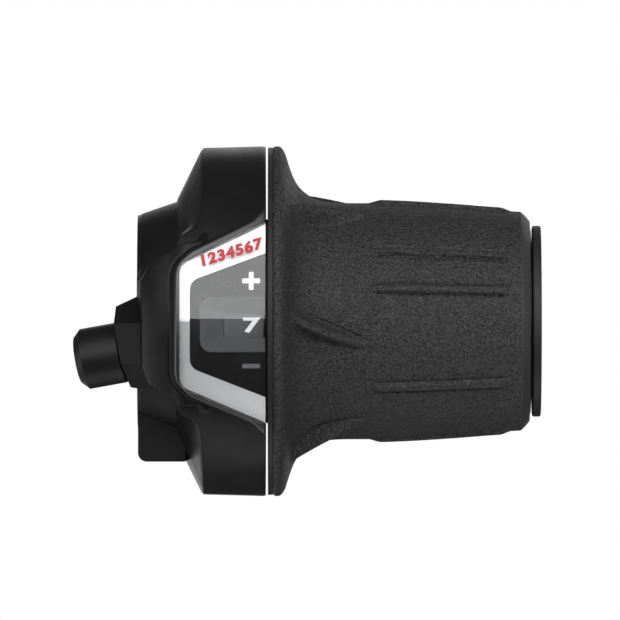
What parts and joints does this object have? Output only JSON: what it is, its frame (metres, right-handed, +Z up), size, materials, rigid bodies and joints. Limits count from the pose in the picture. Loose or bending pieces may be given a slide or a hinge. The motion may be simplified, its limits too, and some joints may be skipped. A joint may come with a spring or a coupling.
{
  "type": "twist grip shifter",
  "caption": "Right-hand seven-speed twist-grip gear shifter: clamp-on drum housing with an angled indicator window and cable adjuster, and a flared rubber grip that turns on a fixed sleeve.",
  "frame": {"origin": "on the handlebar's axis, in the plane of the clamp bolt", "axes": "+X outboard along the handlebar towards the rubber grip, -Y towards the rider and the indicator window, +Z up"},
  "size_m": [0.0732, 0.0563, 0.055],
  "materials": {
    "housing_black": "satin black moulded nylon",
    "cover_black": "satin black moulded nylon, smooth",
    "lens_clear": "clear polycarbonate",
    "frame_silver": "silver-white printed frame",
    "plate_dark": "dark printed plate",
    "dial_black": "dark grey moulded dial",
    "grip_rubber": "soft black rubber with a fine leather grain",
    "core_black": "black glass-filled nylon",
    "acetal_white": "natural acetal",
    "spring_steel": "plain spring steel",
    "bolt_steel": "black-finished steel",
    "nut_steel": "zinc-plated steel",
    "brass": "turned brass",
    "barrel_black": "black nylon, fine satin"
  },
  "bodies": {
    "housing": {"main_housing": "housing_black", "front_cover": "cover_black", "indicator_lens": "lens_clear", "indicator_frame": "frame_silver", "indicator_plate": "plate_dark", "thrust_washer": "acetal_white", "end_washer": "core_black", "detent_spring": "spring_steel", "clamp_bolt": "bolt_steel", "clamp_nut": "nut_steel", "cover_screws": "bolt_steel", "cable_elbow": "acetal_white", "adjuster_spring": "spring_steel", "adjuster_insert": "brass"},
    "twist_grip": {"rotor_core": "core_black", "gear_dial": "dial_black", "index_ring": "acetal_white", "cable_spool": "acetal_white", "grip_rubber": "grip_rubber"},
    "click_slider": {"click_cup": "acetal_white"},
    "adjuster_barrel": {"barrel_adjuster": "barrel_black", "adjuster_bolt": "nut_steel"}
  },
  "joints": [
    {"name": "grip_twist", "type": "hinge", "parent": "housing", "child": "twist_grip", "pos_m": [0, 0, 0], "axis": [1, 0, 0], "range_deg": [0, 72]},
    {"name": "adjuster_travel", "type": "slide", "parent": "housing", "child": "click_slider", "axis": [-0.9746, 0.1369, -0.1771], "range_m": [0, 0.0024], "deforming": ["adjuster_spring"]},
    {"name": "adjuster_turn", "type": "hinge", "parent": "click_slider", "child": "adjuster_barrel", "pos_m": [-0.0056, -0.01824, -0.00479], "axis": [-0.9746, 0.1369, -0.1771], "range_deg": [0, 1100]}
  ],
  "couplings": [
    {"joint": "adjuster_turn", "follows": "adjuster_travel", "rad_per_m": 7854}
  ]
}
